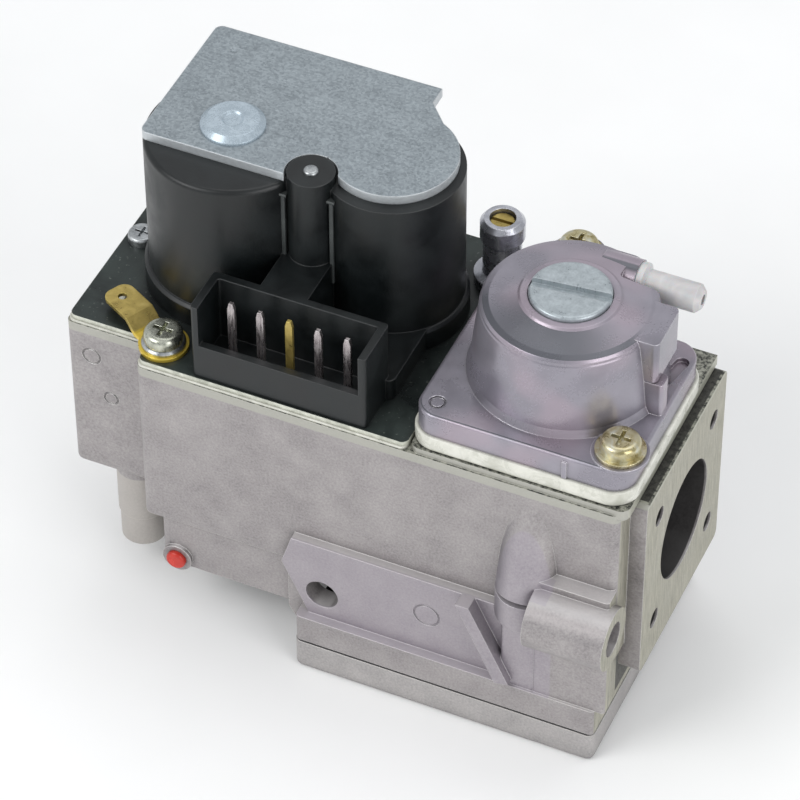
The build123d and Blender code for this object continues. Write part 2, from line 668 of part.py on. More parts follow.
with BuildPart() as coil_yoke:
    with BuildSketch(Plane.XY.offset(coil_top + 0.02)):
        with Locations(((yoke_x0 + 46.0) / 2, (yoke_y0 + yoke_y1) / 2)):
            Rectangle(46.0 - yoke_x0, yoke_y1 - yoke_y0)
        with Locations(((46.0 + yoke_x1) / 2, (lobe_y + yoke_y1) / 2)):
            Rectangle(yoke_x1 - 46.0, yoke_y1 - lobe_y)
        with Locations((lobe_x, lobe_y)):
            Circle(lobe_r)
        with BuildLine():
            Polyline((50.0, lobe_y), (50.0, 25.9), (yoke_x1, 25.9), (62.6, 20.8), (66.0, lobe_y), close=True)
        make_face()
        with Locations((post_x, post_y)):
            Circle(post_r + 0.5, mode=Mode.SUBTRACT)
    extrude(amount=yoke_t - 0.02)
    slab((leg_x0, leg_x1), (yoke_y1 - 1.6, yoke_y1), (base_z0, yoke_top - 0.5))
    upright = coil_yoke.edges().filter_by(Axis.Z).filter_by(lambda e: e.center().Z > coil_top)
    corners = upright.filter_by(lambda e: abs(e.center().X - yoke_x0) < 0.1)
    fillet(corners, 1.6)
    rod(coil1_x, coil1_y, (coil_top, yoke_top + 1), tube1_r + 0.1, Mode.SUBTRACT)
    with Locations((16.0, 24.5, yoke_top + 1.0)):
        Sphere(1.3, mode=Mode.SUBTRACT)
coil_yoke.part.label = "coil_yoke"
export_step(coil_yoke.part, "parts/coil_yoke.step")

yoke_cap_r = 6.4
with BuildPart() as yoke_cap:
    cap_profile = (
        (0, yoke_top),
        (yoke_cap_r, yoke_top),
        (yoke_cap_r, yoke_top + 0.5),
        (yoke_cap_r - 1.2, yoke_top + 1.5),
        (2.2, yoke_top + 1.6),
        (1.8, yoke_top + 1.2),
        (0, yoke_top + 1.2),
    )
    spun(coil1_x, coil1_y, cap_profile)
yoke_cap.part.label = "yoke_cap"
export_step(yoke_cap.part, "parts/yoke_cap.step")

# ---------------------------------------------------------------- main valve and its diaphragm drive
stroke_main = 2.5
main_disc_r = 12.6
main_seal_z0 = web2_z + 1.4 + rest_gap
main_seal_t = 2.3
main_plate_z0 = main_seal_z0 + main_seal_t
main_plate_t = 1.4
drive_plate_z0 = split_z + 1.0
drive_plate_t = 1.2
drive_plate_r = 13.6
sheet_t = 0.6
spring_lid_z = (15.0, 18.2)

with BuildPart() as main_valve_seal:
    tube(main_x, main_y, (main_seal_z0, main_plate_z0), main_disc_r, stem_r)
    fillet(main_valve_seal.edges().filter_by(lambda e: e.geom_type == GeomType.CIRCLE and e.radius > 9), 0.5)
main_valve_seal.part.label = "main_valve_seal"
export_step(main_valve_seal.part, "parts/main_valve_seal.step")

with BuildPart() as main_valve_stem:
    rod(main_x, main_y, (main_plate_z0, main_plate_z0 + main_plate_t), main_disc_r - 0.8)
    rod(main_x, main_y, (drive_plate_z0, main_plate_z0 + main_plate_t), stem_r)
    rod(main_x, main_y, (drive_plate_z0, drive_plate_z0 + drive_plate_t), drive_plate_r)
    rod(main_x, main_y, (main_plate_z0, main_plate_z0 + main_plate_t + 2.0), 3.2)
main_valve_stem.part.label = "main_valve_stem"
export_step(main_valve_stem.part, "parts/main_valve_stem.step")

main_spring_z = (main_plate_z0 + main_plate_t, spring_lid_z[0])
with BuildPart() as main_valve_spring:
    coil_spring(main_x, main_y, main_spring_z, 7.0, 0.6, 7)
main_valve_spring.part.label = "main_valve_spring"
export_step(main_valve_spring.part, "parts/main_valve_spring.step")

with BuildPart() as spring_lid:
    rod(main_x, main_y, spring_lid_z, main_pocket_r - 0.05)
    rod(main_x, main_y, (spring_lid_z[0] + 1.4, spring_lid_z[1]), main_pocket_r - 3.0, Mode.SUBTRACT)
spring_lid.part.label = "spring_lid"
export_step(spring_lid.part, "parts/spring_lid.step")


def cover_outline(inset):
    """The plan of the bottom joint, shared by the diaphragm sheet and the cover."""
    x0, x1 = lower_x0 + 2.8 + inset, lower_x1 - inset
    y0, y1 = lower_front_y + inset, lower_back_y - inset
    with Locations(((x0 + x1) / 2, (y0 + y1) / 2)):
        RectangleRounded(x1 - x0, y1 - y0, 1.6)


with BuildPart() as main_diaphragm:
    with BuildSketch(Plane.XY.offset(split_z)):
        cover_outline(0.3)
        with Locations((main_x, main_y)):
            Circle(drive_pocket_r - 0.6, mode=Mode.SUBTRACT)
        with Locations(*cover_screws):
            Circle(1.9, mode=Mode.SUBTRACT)
    extrude(amount=-sheet_t)
    fold_profile = (
        (5.0, drive_plate_z0 - 0.05),
        (drive_plate_r + 1.0, drive_plate_z0 - 0.05),
        (drive_pocket_r - 2.0, split_z + 1.6),
        (drive_pocket_r - 0.5, split_z),
        (drive_pocket_r - 0.5, split_z - sheet_t),
        (drive_pocket_r - 2.2, split_z + 0.9),
        (drive_plate_r + 1.0, drive_plate_z0 - 0.55),
        (5.0, drive_plate_z0 - 0.55),
    )
    spun(main_x, main_y, fold_profile)
main_diaphragm.part.label = "main_diaphragm"
export_step(main_diaphragm.part, "parts/main_diaphragm.step")

cover_top = split_z - sheet_t
with BuildPart() as bottom_cover:
    with BuildSketch(Plane.XY.offset(foot_z)):
        cover_outline(0)
    extrude(amount=cover_top - foot_z)
    fillet(bottom_cover.faces().sort_by(Axis.Z)[0].edges(), 1.2)
    rod(main_x, main_y, (foot_z + 2.4, cover_top), drive_pocket_r - 0.8, Mode.SUBTRACT)
    for x, y in cover_screws:
        rod(x, y, (foot_z, cover_top), 1.9, Mode.SUBTRACT)
        rod(x, y, (foot_z, foot_z + 3.0), 3.4, Mode.SUBTRACT)
bottom_cover.part.label = "bottom_cover"
export_step(bottom_cover.part, "parts/bottom_cover.step")

with BuildPart() as bottom_cover_screws:
    for x, y in cover_screws:
        rod(x, y, (foot_z + 0.9, foot_z + 3.0), 3.0)
        rod(x, y, (foot_z + 2.9, split_z + 6.5), 1.45)
        with BuildSketch(Plane.XY.offset(foot_z + 0.9)) as socket:
            with Locations((x, y)):
                RegularPolygon(1.4, 6)
        extrude(socket.sketch, amount=1.3, mode=Mode.SUBTRACT)
bottom_cover_screws.part.label = "bottom_cover_screws"
export_step(bottom_cover_screws.part, "parts/bottom_cover_screws.step")

# ---------------------------------------------------------------- servo pressure regulator
reg_x0, reg_x1 = 76.0, 120.4
reg_y0, reg_y1 = -25.4, 13.2
reg_back_x, reg_back_y = 103.0, 32.2
reg_chamber_r = 15.0
thread_r = 6.7
cap_gap = 0.06
cavity_r = 9.0


def regulator_outline(grow, corner):
    """The plan of the regulator's base: square in front, with a longer left half behind."""
    with Locations(((reg_x0 + reg_x1) / 2, (reg_y0 + reg_y1) / 2)):
        RectangleRounded(reg_x1 - reg_x0 + 2 * grow, reg_y1 - reg_y0 + 2 * grow, corner)
    with Locations(((reg_x0 + 6 + reg_back_x) / 2, reg_back_y / 2)):
        RectangleRounded(reg_back_x - reg_x0 - 6 + 2 * grow, reg_back_y + 2 * grow, corner)


with BuildPart() as regulator_gasket:
    with BuildSketch(Plane.XY.offset(reg_deck_z + 0.2)):
        regulator_outline(0.7, 5.5)
        with Locations((reg_x, reg_y)):
            Circle(reg_chamber_r, mode=Mode.SUBTRACT)
        with Locations(*reg_screws):
            Circle(2.3, mode=Mode.SUBTRACT)
    extrude(amount=reg_gasket_top - reg_deck_z - 0.2)
    outer = regulator_gasket.faces().sort_by(Axis.Z)[-1].outer_wire().edges()
    fillet(outer, 0.5)
    rod(reg_x, reg_y, (reg_gasket_top - 0.8, reg_gasket_top), 17.2, Mode.SUBTRACT)
regulator_gasket.part.label = "regulator_gasket"
export_step(regulator_gasket.part, "parts/regulator_gasket.step")

reg_plate_z = (22.6, 23.9)
reg_plate_r = 8.0
with BuildPart() as regulator_diaphragm:
    tube(reg_x, reg_y, (reg_gasket_top - 0.8, reg_gasket_top), 17.15, 12.0)
    tube(reg_x, reg_y, (reg_gasket_top - 0.6, reg_gasket_top - 0.2), 12.1, reg_plate_r + 0.35)
regulator_diaphragm.part.label = "regulator_diaphragm"
export_step(regulator_diaphragm.part, "parts/regulator_diaphragm.step")

with BuildPart() as regulator_plate:
    rod(reg_x, reg_y, reg_plate_z, reg_plate_r)
    rod(reg_x, reg_y, (reg_plate_z[0], reg_plate_z[1] + 2.0), 3.6)
    chamfer(regulator_plate.faces().sort_by(Axis.Z)[-1].edges(), 0.5)
regulator_plate.part.label = "regulator_plate"
export_step(regulator_plate.part, "parts/regulator_plate.step")

arm_x = (106.0, 118.6)
arm_y = (-8.0, 3.4)
arm_z0 = 36.8
vent_y, vent_z = 10.9, 43.0
vent_x0, vent_x1 = 103.5, 120.4
vent_face_x = 107.4
vent_gap_x, vent_gap_y, vent_gap_z = 105.0, 6.2, 38.4
vent_r = 2.9
thread_z0 = 36.0
cap_floor_z = 45.6

with BuildPart() as regulator_housing:
    with BuildSketch(Plane.XY.offset(reg_gasket_top)):
        regulator_outline(0, 4.8)
    extrude(amount=reg_base_top - reg_gasket_top)
    fillet(regulator_housing.faces().sort_by(Axis.Z)[-1].edges(), 0.7)
    # dome: foot, tapered wall and top flange
    dome_profile = (
        (0, dome_top + 1.1),
        (cap_ring_r, dome_top + 1.1),
        (cap_ring_r + 0.5, dome_top + 0.7),
        (dome_r - 1.9, dome_top - 0.1),
        (dome_r - 0.7, dome_top - 0.5),
        (dome_r - 0.3, dome_top - 1.1),
        (dome_r - 0.3, dome_top - 1.6),
        (dome_r - 0.1, dome_top - 1.9),
        (dome_r + 0.9, reg_base_top + 8.0),
        (dome_r + 1.5, reg_base_top + 1.5),
        (dome_foot_r - 0.4, reg_base_top + 0.6),
        (dome_foot_r, reg_base_top - 0.1),
        (0, reg_base_top - 0.1),
    )
    spun(reg_x, reg_y, dome_profile)
    # arm with its column, and the vent's boss
    slab(arm_x, arm_y, (arm_z0, dome_top - 0.3), 1.2)
    slab((107.0, 116.4), (arm_y[0] + 0.4, arm_y[1] - 1.8), (reg_base_top - 0.5, arm_z0 + 1), 0.8)
    slab((112.0, reg_x1 - 0.5), (arm_y[0], arm_y[0] + 3.4), (reg_base_top - 0.4, arm_z0 - 0.2), 0.8)
    # corner cut out of the dome for the vent
    slab((vent_gap_x, 119.0), (vent_gap_y, 17.0), (vent_gap_z, dome_top + 2), 1.0, Mode.SUBTRACT)
    cross_rod((100.0, vent_face_x), vent_y, vent_z, 4.2)
    # screw seats
    for x, y in reg_screws:
        rod(x, y, (reg_base_top - 0.5, reg_base_top + 0.25), 5.6)
    # inside
    rod(reg_x, reg_y, (reg_gasket_top, 27.2), reg_chamber_r, Mode.SUBTRACT)
    rod(reg_x, reg_y, (27.0, thread_z0), cavity_r, Mode.SUBTRACT)
    rod(reg_x, reg_y, (thread_z0 - 1, cap_floor_z), thread_r, Mode.SUBTRACT)
    rod(reg_x, reg_y, (cap_floor_z, dome_top + 2), cap_r + 0.15, Mode.SUBTRACT)
    cross_rod((101.0, vent_face_x), vent_y, vent_z, 2.4, Mode.SUBTRACT)
    rod(102.8, vent_y, (27.0, vent_z), 1.2, Mode.SUBTRACT)
    for x, y in reg_screws:
        rod(x, y, (reg_gasket_top - 1, reg_base_top + 5), 2.3, Mode.SUBTRACT)
    # oval pocket on the back right corner, cast rib on the front edge and the front left plug mark
    with BuildSketch(Plane.XY.offset(reg_base_top)) as oval:
        with Locations((117.6, 4.4)):
            SlotOverall(8.6, 2.8, rotation=78)
    extrude(oval.sketch, amount=-1.0, mode=Mode.SUBTRACT)
    slab((107.0, 108.0), (reg_y0 - 0.35, reg_y0 + 1), (reg_gasket_top, reg_base_top - 1.0))
    rod(79.8, -21.4, (reg_base_top - 0.5, reg_base_top + 1), 1.7, Mode.SUBTRACT)
    rod(79.8, -21.4, (reg_base_top - 0.6, reg_base_top - 0.1), 1.2)
regulator_housing.part.label = "regulator_housing"
export_step(regulator_housing.part, "parts/regulator_housing.step")

with BuildPart() as regulator_screws:
    for x, y in reg_screws:
        pan_head(x, y, reg_base_top + 1.05, 3.9, 2.7, 1.75, 15.0)
        cross_recess(x, y, reg_base_top + 3.75, 2.0, 0.8, 1.3)
    heads = regulator_screws.edges().filter_by(lambda e: e.geom_type == GeomType.CIRCLE and e.radius > 3.5)
    fillet(heads.group_by(Axis.Z)[-1], 1.2)
regulator_screws.part.label = "regulator_screws"
export_step(regulator_screws.part, "parts/regulator_screws.step")

with BuildPart() as regulator_washers:
    for x, y in reg_screws:
        tube(x, y, (reg_base_top + 0.25, reg_base_top + 1.05), 4.9, 1.85)
regulator_washers.part.label = "regulator_washers"
export_step(regulator_washers.part, "parts/regulator_washers.step")

cap_z0 = 44.2
cap_head_z = 46.95
cap_top = 48.9
slot_w = 2.2
slot_angle = 6.6
with BuildPart() as adjuster_cap:
    rod(reg_x, reg_y, (cap_head_z, cap_top), cap_r)
    fillet(adjuster_cap.faces().sort_by(Axis.Z)[-1].edges(), 0.6)
    rod(reg_x, reg_y, (cap_z0, cap_head_z), thread_r - cap_gap)
    with BuildSketch(Plane.XY.offset(cap_top)) as cap_slot:
        with Locations((reg_x, reg_y)):
            Rectangle(2 * cap_r, slot_w, rotation=slot_angle)
    extrude(cap_slot.sketch, amount=-1.2, mode=Mode.SUBTRACT)
adjuster_cap.part.label = "adjuster_cap"
export_step(adjuster_cap.part, "parts/adjuster_cap.step")

with BuildPart() as cap_seal:
    with BuildSketch(Plane.XZ.offset(-reg_y)) as seal_half:
        with Locations((reg_x + thread_r + 0.72, cap_floor_z + 0.66)):
            Circle(0.6)
    revolve(seal_half.sketch, axis=Axis((reg_x, reg_y, 0), (0, 0, 1)))
cap_seal.part.label = "cap_seal"
export_step(cap_seal.part, "parts/cap_seal.step")

adjuster_z = (38.6, 42.4)
seat_z = (37.2, 38.55)
with BuildPart() as adjusting_screw:
    rod(reg_x, reg_y, adjuster_z, thread_r - cap_gap)
    driver_slot_z = (adjuster_z[1] - 1.4, adjuster_z[1])
    slab((reg_x - 5, reg_x + 5), (reg_y - 0.7, reg_y + 0.7), driver_slot_z, 0, Mode.SUBTRACT)
adjusting_screw.part.label = "adjusting_screw"
export_step(adjusting_screw.part, "parts/adjusting_screw.step")

with BuildPart() as spring_seat:
    rod(reg_x, reg_y, seat_z, 6.2)
    rod(reg_x, reg_y, (seat_z[0] - 1.6, seat_z[0] + 0.1), 3.4)
spring_seat.part.label = "spring_seat"
export_step(spring_seat.part, "parts/spring_seat.step")

with BuildPart() as regulator_spring:
    coil_spring(reg_x, reg_y, (reg_plate_z[1] + 0.02, seat_z[0] - 0.02), 4.6, 0.4, 7)
regulator_spring.part.label = "regulator_spring"
export_step(regulator_spring.part, "parts/regulator_spring.step")

with BuildPart() as vent_nipple:
    with BuildSketch(Plane.XY.offset(vent_z)) as nipple_half:
        with BuildLine():
            Polyline(
                (vent_x0, vent_y + 1.1),
                (vent_x0, vent_y + 2.35),
                (vent_face_x, vent_y + 2.35),
                (vent_face_x, vent_y + 3.9),
                (vent_face_x + 1.3, vent_y + 3.9),
                (vent_face_x + 1.8, vent_y + vent_r),
                (vent_x1 - 1.0, vent_y + vent_r),
                (vent_x1, vent_y + vent_r - 1.0),
                (vent_x1, vent_y + 1.1),
                close=True,
            )
        make_face()
    revolve(nipple_half.sketch, axis=Axis((0, vent_y, vent_z), (1, 0, 0)))
vent_nipple.part.label = "vent_nipple"
export_step(vent_nipple.part, "parts/vent_nipple.step")

# ---------------------------------------------------------------- pressure test points and plug
nipple_r = 4.5
nipple_top = 37.0
test_bore_r = 2.6
with BuildPart() as test_nipple:
    nipple_profile = (
        (1.0, casting_top - 7.5),
        (nipple_stub_r - 0.05, casting_top - 7.5),
        (nipple_stub_r - 0.05, deck_z),
        (5.6, deck_z),
        (5.6, deck_z + 2.4),
        (3.9, deck_z + 3.2),
        (3.9, nipple_top - 5.5),
        (nipple_r, nipple_top - 4.6),
        (nipple_r, nipple_top - 1.0),
        (nipple_r - 0.8, nipple_top),
        (test_bore_r + 0.06, nipple_top),
        (test_bore_r + 0.06, nipple_top - 7.0),
        (1.0, nipple_top - 8.6),
    )
    spun(nipple_x, nipple_y, nipple_profile)
test_nipple.part.label = "test_nipple"
export_step(test_nipple.part, "parts/test_nipple.step")

with BuildPart() as test_nipple_screw:
    rod(nipple_x, nipple_y, (nipple_top - 6.8, nipple_top - 0.9), test_bore_r)
    chamfer(test_nipple_screw.faces().sort_by(Axis.Z)[-1].edges(), 0.3)
    slot = (nipple_top - 2.2, nipple_top)
    slab((nipple_x - 2.6, nipple_x + 2.6), (nipple_y - 0.4, nipple_y + 0.4), slot, 0, Mode.SUBTRACT)
test_nipple_screw.part.label = "test_nipple_screw"
export_step(test_nipple_screw.part, "parts/test_nipple_screw.step")

with BuildPart() as sealing_plug:
    front_rod(red_x, (front_y - 0.9, front_y + 0.2), red_z, 2.1)
    fillet(sealing_plug.faces().sort_by(Axis.Y)[0].edges(), 0.6)
    front_rod(red_x, (front_y, -22.4), red_z, 1.58)
sealing_plug.part.label = "sealing_plug"
export_step(sealing_plug.part, "parts/sealing_plug.step")
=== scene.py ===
import json
import math

import bmesh
import bpy
from mathutils import Matrix, Vector


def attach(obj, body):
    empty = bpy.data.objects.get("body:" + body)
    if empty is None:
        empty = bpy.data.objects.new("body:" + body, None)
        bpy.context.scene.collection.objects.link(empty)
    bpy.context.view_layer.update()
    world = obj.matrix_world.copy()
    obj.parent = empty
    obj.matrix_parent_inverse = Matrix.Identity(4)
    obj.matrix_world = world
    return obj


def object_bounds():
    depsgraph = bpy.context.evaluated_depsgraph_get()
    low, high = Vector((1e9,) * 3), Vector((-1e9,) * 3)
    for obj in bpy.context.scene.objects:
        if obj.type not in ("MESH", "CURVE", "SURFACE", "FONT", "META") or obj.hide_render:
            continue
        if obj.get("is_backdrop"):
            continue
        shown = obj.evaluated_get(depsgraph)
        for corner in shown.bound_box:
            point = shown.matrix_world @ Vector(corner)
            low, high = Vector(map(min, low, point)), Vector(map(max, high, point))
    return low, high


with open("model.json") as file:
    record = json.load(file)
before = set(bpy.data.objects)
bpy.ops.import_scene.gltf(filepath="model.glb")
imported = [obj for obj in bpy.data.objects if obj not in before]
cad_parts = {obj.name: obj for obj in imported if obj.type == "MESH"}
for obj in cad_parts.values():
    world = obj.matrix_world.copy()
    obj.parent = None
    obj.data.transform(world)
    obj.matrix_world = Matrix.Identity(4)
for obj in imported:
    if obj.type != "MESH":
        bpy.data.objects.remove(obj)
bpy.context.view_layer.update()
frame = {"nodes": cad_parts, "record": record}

MM = 0.001

# places on the valve that finishes and painted shade follow, in millimetres, as low and high corners
LUG_FRONT = ((48, -34, -33), (108, -28.4, 12))
FRONT_BOSSES = ((88, -45, -32), (119, -27.3, 14))
LEG = ((4, -22, -42), (18, -8, -21.5))
GAS_WAYS = ((23.0, -19.7, -38.0), (122.6, 19.7, 18.0))
INLET_MOUTH = ((0.4, -12.4, -12.4), (24.0, 12.4, 12.4))
OUTLET_FACE_X = 117.0
LEDGE_TOP_Z = 16.0
RIM_Z = 16.7
FLANGE_TOP_Z = 17.0
TAB_SEAT_Z = 21.8
WIRE_PITCH = 0.35

# ribs beside the coil post that carry a painted highlight: half thickness and half depth of the rib, and the
# same with half height for its head
RIB_HALF = (0.42, 0.6)
RIB_HEAD_HALF = (0.85, 0.75, 0.3)
RIB_BEVEL = 0.12

FLOOR_REACH = 2.0
CAMERA_PLACE = (0.3120, -0.55507, 0.60163)
CAMERA_LENS = 194.4


# ---------------------------------------------------------------- helpers for materials
def rgb(red, green, blue):
    """A display colour, 0 to 255 a channel, as the linear colour that shaders use."""
    def linear(value):
        value /= 255
        return value / 12.92 if value <= 0.04045 else ((value + 0.055) / 1.055) ** 2.4
    return (linear(red), linear(green), linear(blue), 1.0)


class Finish:
    """One procedural material. Its patterns lie in the object's own space, in millimetres."""

    def __init__(self, name, metallic=0.0, roughness=0.5):
        self.material = bpy.data.materials.new(name)
        self.material.use_nodes = True
        self.tree = self.material.node_tree
        self.shader = self.tree.nodes["Principled BSDF"]
        self.shader.inputs["Metallic"].default_value = metallic
        self.shader.inputs["Roughness"].default_value = roughness
        self.place = self.node("ShaderNodeTexCoord")
        self.normal = None

    def node(self, kind, **settings):
        made = self.tree.nodes.new(kind)
        for key, value in settings.items():
            setattr(made, key, value)
        return made

    def join(self, value, socket):
        """Links a socket, or sets a plain value."""
        if isinstance(value, bpy.types.NodeSocket):
            self.tree.links.new(value, socket)
        else:
            socket.default_value = value

    def math(self, operation, a, b=0.0):
        made = self.node("ShaderNodeMath", operation=operation)
        self.join(a, made.inputs[0])
        self.join(b, made.inputs[1])
        return made.outputs[0]

    def stretched(self, size, along=(1, 1, 1)):
        """Object coordinates scaled so that one unit is size millimetres, longer along the given axes."""
        mapping = self.node("ShaderNodeMapping")
        self.join(self.place.outputs["Object"], mapping.inputs["Vector"])
        mapping.inputs["Scale"].default_value = [1 / (size * MM * a) for a in along]
        return mapping.outputs["Vector"]

    def noise(self, size, detail=3.0, rough=0.6, along=(1, 1, 1), warp=0.0):
        made = self.node("ShaderNodeTexNoise")
        self.join(self.stretched(size, along), made.inputs["Vector"])
        made.inputs["Scale"].default_value = 1.0
        made.inputs["Detail"].default_value = detail
        made.inputs["Roughness"].default_value = rough
        made.inputs["Distortion"].default_value = warp
        return made.outputs["Fac"]

    def cells(self, size):
        """A random number from 0 to 1 for each cell of the given size."""
        made = self.node("ShaderNodeTexVoronoi")
        self.join(self.stretched(size), made.inputs["Vector"])
        made.inputs["Scale"].default_value = 1.0
        split = self.node("ShaderNodeSeparateColor")
        self.join(made.outputs["Color"], split.inputs[0])
        return split.outputs["Red"]

    def ramp(self, value, stops):
        made = self.node("ShaderNodeValToRGB")
        self.join(value, made.inputs["Fac"])
        elements = made.color_ramp.elements
        while len(elements) < len(stops):
            elements.new(0.5)
        for element, (position, colour) in zip(elements, stops):
            element.position = position
            element.color = colour if len(colour) == 4 else (*colour, 1)
        return made.outputs["Color"]

    def span(self, value, low, high, to_low=0.0, to_high=1.0):
        """Value mapped from low..high to to_low..to_high, and held at the ends."""
        made = self.node("ShaderNodeMapRange", interpolation_type="SMOOTHSTEP")
        for socket, number in zip(("Value", "From Min", "From Max", "To Min", "To Max"),
                                  (value, low, high, to_low, to_high)):
            self.join(number, made.inputs[socket])
        return made.outputs["Result"]

    def mix(self, share, a, b):
        """Colour a, with the given share of colour b."""
        made = self.node("ShaderNodeMix", data_type="RGBA")
        colour_a, colour_b, result = made.inputs[6], made.inputs[7], made.outputs[2]
        self.join(share, made.inputs["Factor"])
        self.join(a, colour_a)
        self.join(b, colour_b)
        return result

    def axis(self, name):
        """The object's own X, Y or Z coordinate, in millimetres."""
        split = self.node("ShaderNodeSeparateXYZ")
        self.join(self.place.outputs["Object"], split.inputs[0])
        return self.math("MULTIPLY", split.outputs[name], 1 / MM)

    def facing(self, name):
        """How far the surface faces along X, Y or Z, from -1 to 1."""
        split = self.node("ShaderNodeSeparateXYZ")
        self.join(self.place.outputs["Normal"], split.inputs[0])
        return split.outputs[name]

    def edges(self, width, low=0.02, high=0.25):
        """1 along edges and corners, 0 on faces; it also rounds the shaded edge by the same width."""
        bevel = self.node("ShaderNodeBevel", samples=6)
        bevel.inputs["Radius"].default_value = width * MM
        flat = self.node("ShaderNodeNewGeometry")
        dot = self.node("ShaderNodeVectorMath", operation="DOT_PRODUCT")
        self.join(bevel.outputs["Normal"], dot.inputs[0])
        self.join(flat.outputs["Normal"], dot.inputs[1])
        self.normal = bevel.outputs["Normal"]
        return self.span(self.math("SUBTRACT", 1.0, dot.outputs["Value"]), low, high)

    def within(self, low, high, soft=0.2):
        """1 inside the box between two corners, in millimetres, and 0 outside it."""
        share = None
        for name, a, b in zip("XYZ", low, high):
            place = self.axis(name)
            above, below = self.span(place, a, a + soft), self.span(place, b - soft, b, 1.0, 0.0)
            both = self.math("MULTIPLY", above, below)
            share = both if share is None else self.math("MULTIPLY", share, both)
        return share

    def crevice_shade(self, reach):
        """Painted shade: 1 in crevices and 0 in the open, from how much is blocked within reach millimetres.
        """
        made = self.node("ShaderNodeAmbientOcclusion", samples=4)
        made.inputs["Distance"].default_value = reach * MM
        return self.span(made.outputs["AO"], 0.35, 0.95, 1.0, 0.0)

    def bump(self, height, depth, strength=1.0):
        """Bump of the given depth in millimetres."""
        made = self.node("ShaderNodeBump")
        self.join(height, made.inputs["Height"])
        made.inputs["Distance"].default_value = depth * MM
        made.inputs["Strength"].default_value = strength
        if self.normal is not None:
            self.join(self.normal, made.inputs["Normal"])
        self.normal = made.outputs["Normal"]

    def done(self, colour, roughness=None, **sockets):
        self.join(colour, self.shader.inputs["Base Color"])
        if roughness is not None:
            self.join(roughness, self.shader.inputs["Roughness"])
        for name, value in sockets.items():
            self.join(value, self.shader.inputs[name.replace("_", " ")])
        if self.normal is not None:
            self.join(self.normal, self.shader.inputs["Normal"])
        return self.material


# ---------------------------------------------------------------- materials
def casting(name, dark, light, bright, metallic=0.55, rough=(0.36, 0.56), patch=6.0, pitted=0.3,
            relief=0.05, grainy=0.66):
    """Die-cast aluminium: soft tones, fine grain, dark pits, painted shade in crevices, and bright edges that
    are partly wear and partly painted highlight.
    """
    m = Finish(name, metallic=metallic)
    wear_and_highlight = m.edges(0.3, 0.03, 0.22)
    broad = m.noise(patch, 3, 0.45, warp=0.3)
    grain = m.noise(0.5, 3, 0.7)
    tone = m.math("ADD", m.math("MULTIPLY", broad, 1 - grainy), m.math("MULTIPLY", grain, grainy))
    colour = m.ramp(tone, [(0.3, dark), (0.68, light)])
    pits = m.span(m.noise(1.1, 2, 0.5), 0.68, 0.76)
    colour = m.mix(m.math("MULTIPLY", pits, pitted), colour, dark)
    # painted shade in crevices
    colour = m.mix(m.math("MULTIPLY", m.crevice_shade(3.0), 0.55), colour, rgb(74, 70, 72))
    # bright edges: partly wear, partly painted highlight
    colour = m.mix(m.math("MULTIPLY", wear_and_highlight, 0.8), colour, bright)
    m.bump(grain, relief, 0.5)
    m.bump(broad, 0.3, 0.4)
    return m, colour, m.span(tone, 0.35, 0.65, *rough)


def body_metal():
    """The main casting, with milled flanges, painted highlight on low upward faces and along the upper lip,
    painted shade on each front boss's left flank, a dark mottled flange top and painted shade in the gas
    ways.
    """
    m, colour, rough = casting("cast_aluminium", rgb(134, 129, 130), rgb(182, 177, 176),
                               rgb(238, 236, 232))
    x, z = m.axis("X"), m.axis("Z")
    facing_up = m.facing("Z")
    # painted highlight on low upward-facing faces
    low_down = m.span(z, LEDGE_TOP_Z - 2.0, LEDGE_TOP_Z, 1.0, 0.0)
    lit_ledges = m.math("MULTIPLY", m.span(facing_up, 0.8, 0.97), low_down)
    colour = m.mix(m.math("MULTIPLY", lit_ledges, 0.6), colour, rgb(228, 225, 224))
    violet = m.within(*LUG_FRONT)
    colour = m.mix(m.math("MULTIPLY", violet, 0.35), colour, rgb(172, 163, 178))
    # painted shade on the left-facing flanks of the front bosses
    flank = m.span(m.facing("X"), -0.9, -0.2, 1.0, 0.0)
    boss_flank_shade = m.math("MULTIPLY", m.within(*FRONT_BOSSES), flank)
    colour = m.mix(m.math("MULTIPLY", boss_flank_shade, 0.5), colour, rgb(96, 93, 102))
    at_outlet = m.span(x, OUTLET_FACE_X, OUTLET_FACE_X + 0.3)
    milled = m.math("MULTIPLY", m.span(m.facing("X"), 0.9, 0.97), at_outlet)
    strokes = m.noise(0.3, 4, 0.7, along=(1, 1, 24))
    milled_colour = m.ramp(strokes, [(0.3, rgb(128, 126, 112)), (0.7, rgb(196, 193, 176))])
    colour = m.mix(m.math("MULTIPLY", milled, 0.9), colour, milled_colour)
    # painted highlight on the upper lip band and the faces above it
    lit_rim = m.span(z, RIM_Z, RIM_Z + 0.3)
    colour = m.mix(m.math("MULTIPLY", lit_rim, 0.6), colour, rgb(186, 187, 174))
    # upward faces above the flange top are painted dark grey mottled with pale grey
    flange_mottle = m.span(m.noise(1.2, 5, 0.75), 0.36, 0.62)
    flange_top = m.math("MULTIPLY", m.span(facing_up, 0.9, 0.97), m.span(z, FLANGE_TOP_Z, FLANGE_TOP_Z + 0.6))
    colour = m.mix(flange_top, colour, m.mix(flange_mottle, rgb(40, 42, 40), rgb(168, 168, 156)))
    leg = m.within(*LEG)
    colour = m.mix(m.math("MULTIPLY", leg, 0.5), colour, rgb(200, 195, 186))
    # painted shade inside the gas ways and the inlet mouth
    bore_shade = m.math("MAXIMUM", m.within(*GAS_WAYS), m.within(*INLET_MOUTH))
    colour = m.mix(m.math("MULTIPLY", bore_shade, 0.88), colour, rgb(48, 47, 46))
    return m.done(colour, rough)


